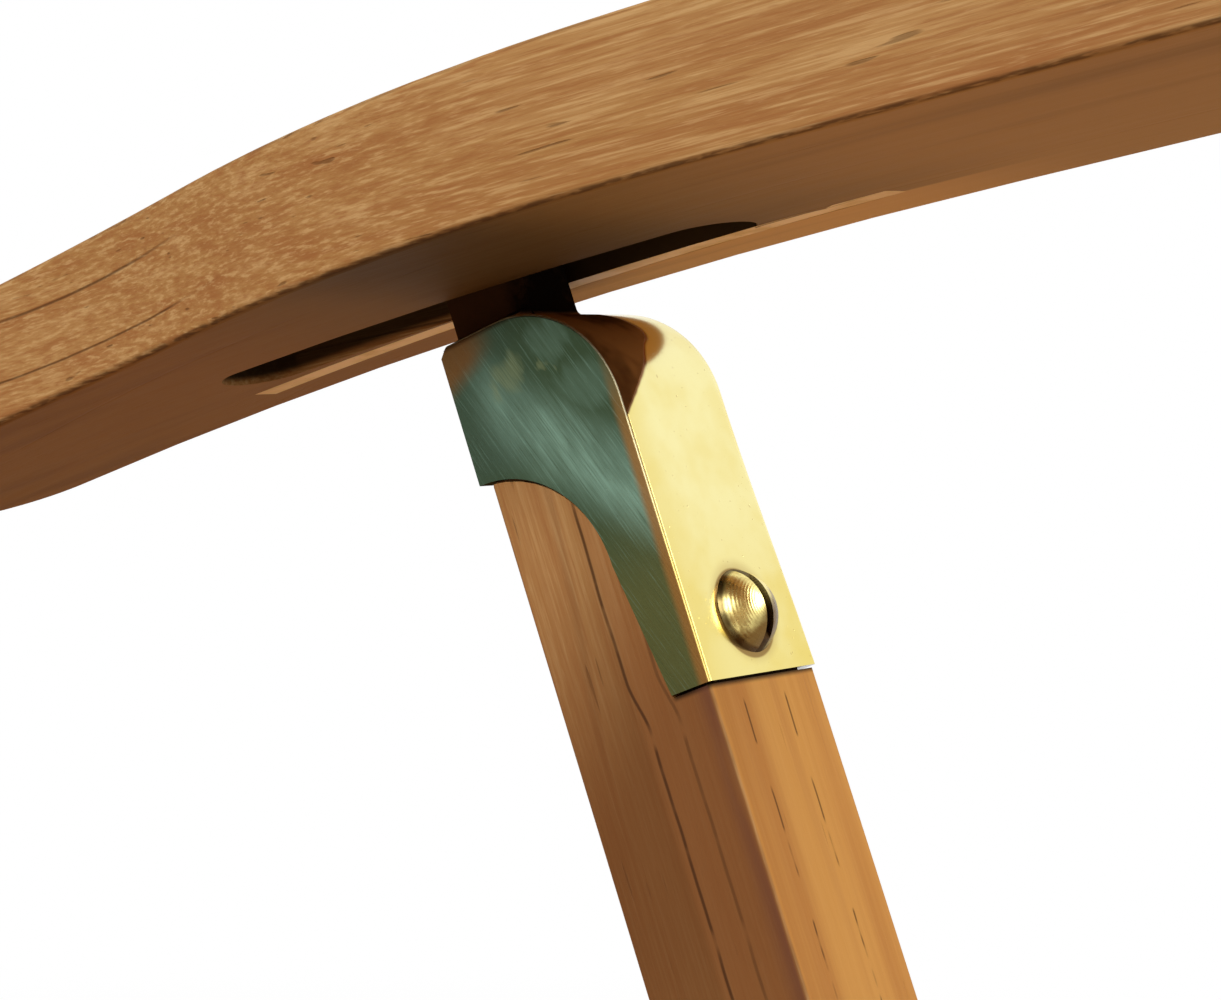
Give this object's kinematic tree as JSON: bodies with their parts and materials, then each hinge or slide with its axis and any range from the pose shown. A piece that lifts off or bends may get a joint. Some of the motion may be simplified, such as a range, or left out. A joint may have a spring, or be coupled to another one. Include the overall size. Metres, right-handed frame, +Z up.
{
  "type": "steamer chair",
  "caption": "Folding teak steamer chair with slatted seat and back, slotted arms that rest on brass-capped legs, and a sliding footrest.",
  "frame": {"origin": "middle of the footprint, on the floor", "axes": "+Z up, the sitter looks along -Y, +X towards the sitter's left"},
  "size_m": [0.6034, 1.3172, 0.9816],
  "materials": {
    "teak_frame": "oiled teak",
    "teak_slats": "oiled teak slats",
    "brass_cap": "cast brass, polished",
    "brass_fittings": "polished brass",
    "brass_fasteners": "turned brass"
  },
  "bodies": {
    "arms": {"arm_left": "teak_frame", "arm_rack_left": "brass_fittings", "arm_rack_right": "brass_fittings", "arm_right": "teak_frame", "slot_strip_left": "brass_fittings", "slot_strip_right": "brass_fittings"},
    "arm_pivot": {"arm_pivot_bolts": "brass_fasteners", "arm_pivot_washers": "brass_fasteners"},
    "back": {"back_bottom_rail": "teak_frame", "back_slat_1": "teak_slats", "back_slat_2": "teak_slats", "back_slat_3": "teak_slats", "back_slat_4": "teak_slats", "back_slat_5": "teak_slats", "back_slat_6": "teak_slats", "back_stile_left": "teak_frame", "back_stile_right": "teak_frame", "back_top_rail": "teak_frame"},
    "back_hinge": {"back_hinge_bolts": "brass_fasteners"},
    "seat_frame": {"back_hinge_bracket_left": "brass_fittings", "back_hinge_bracket_right": "brass_fittings", "footrest_runner_left": "teak_frame", "footrest_runner_right": "teak_frame", "front_cross_bar": "teak_frame", "hinge_bracket_screws": "brass_fittings", "rail_pivot_bolts": "brass_fasteners", "rail_pivot_sleeves": "brass_fasteners", "rear_cross_rail": "teak_frame", "seat_rail_left": "teak_frame", "seat_rail_right": "teak_frame", "seat_slat_1": "teak_slats", "seat_slat_2": "teak_slats", "seat_slat_3": "teak_slats", "seat_slat_4": "teak_slats", "seat_slat_5": "teak_slats", "seat_slat_6": "teak_slats", "seat_slat_7": "teak_slats", "seat_slat_screws": "brass_fasteners"},
    "outer_legs": {"cap_screws": "brass_fittings", "crossing_bolts": "brass_fasteners", "crossing_washers": "brass_fasteners", "leg_cap_left": "brass_cap", "leg_cap_right": "brass_cap", "outer_leg_left": "teak_frame", "outer_leg_right": "teak_frame", "outer_leg_stretcher": "teak_frame"},
    "footrest_legs": {"footrest_leg_bolts": "brass_fasteners", "footrest_leg_left": "teak_frame", "footrest_leg_right": "teak_frame", "footrest_leg_stretcher": "teak_frame"},
    "footrest": {"footrest_rail_left": "teak_frame", "footrest_rail_right": "teak_frame", "footrest_slat_1": "teak_slats", "footrest_slat_2": "teak_slats", "footrest_slat_3": "teak_slats", "footrest_slat_4": "teak_slats"},
    "inner_legs": {"guide_pins": "brass_fasteners", "inner_leg_left": "teak_frame", "inner_leg_right": "teak_frame", "inner_leg_stretcher": "teak_frame"}
  },
  "joints": [
    {"name": "chair_fold", "type": "hinge", "parent": "seat_frame", "child": "back_hinge", "pos_m": [0, 0.28755, 0.37], "axis": [1, 0, 0], "range_deg": [0, 100]},
    {"name": "back_recline", "type": "hinge", "parent": "back_hinge", "child": "back", "pos_m": [0, 0.28755, 0.37], "axis": [-1, 0, 0], "range_deg": [-6, 9]},
    {"name": "arm_recline", "type": "hinge", "parent": "back", "child": "arm_pivot", "pos_m": [0, 0.45142, 0.6478], "axis": [-1, 0, 0], "range_deg": [-5, 4]},
    {"name": "arm_fold", "type": "hinge", "parent": "arm_pivot", "child": "arms", "pos_m": [0, 0.45142, 0.6478], "axis": [1, 0, 0], "range_deg": [-125, 1]},
    {"name": "outer_leg_fold", "type": "hinge", "parent": "seat_frame", "child": "outer_legs", "pos_m": [0, 0.14485, 0.31735], "axis": [1, 0, 0], "range_deg": [-1, 54]},
    {"name": "inner_leg_fold", "type": "hinge", "parent": "outer_legs", "child": "inner_legs", "pos_m": [0, 0.18427, 0.21466], "axis": [1, 0, 0], "range_deg": [-108, 1]},
    {"name": "footrest_slide", "type": "slide", "parent": "seat_frame", "child": "footrest", "axis": [0, 0.9903, -0.1392], "range_m": [0, 0.44]},
    {"name": "footrest_leg_swing", "type": "hinge", "parent": "footrest", "child": "footrest_legs", "pos_m": [0, -0.61287, 0.4299], "axis": [1, 0, 0], "range_deg": [0, 82]}
  ],
  "couplings": [
    {"joint": "arm_recline", "follows": "back_recline", "ratio": -0.5},
    {"joint": "arm_fold", "follows": "chair_fold", "ratio": -1.242},
    {"joint": "outer_leg_fold", "follows": "chair_fold", "ratio": 0.535},
    {"joint": "inner_leg_fold", "follows": "chair_fold", "ratio": -1.07}
  ]
}
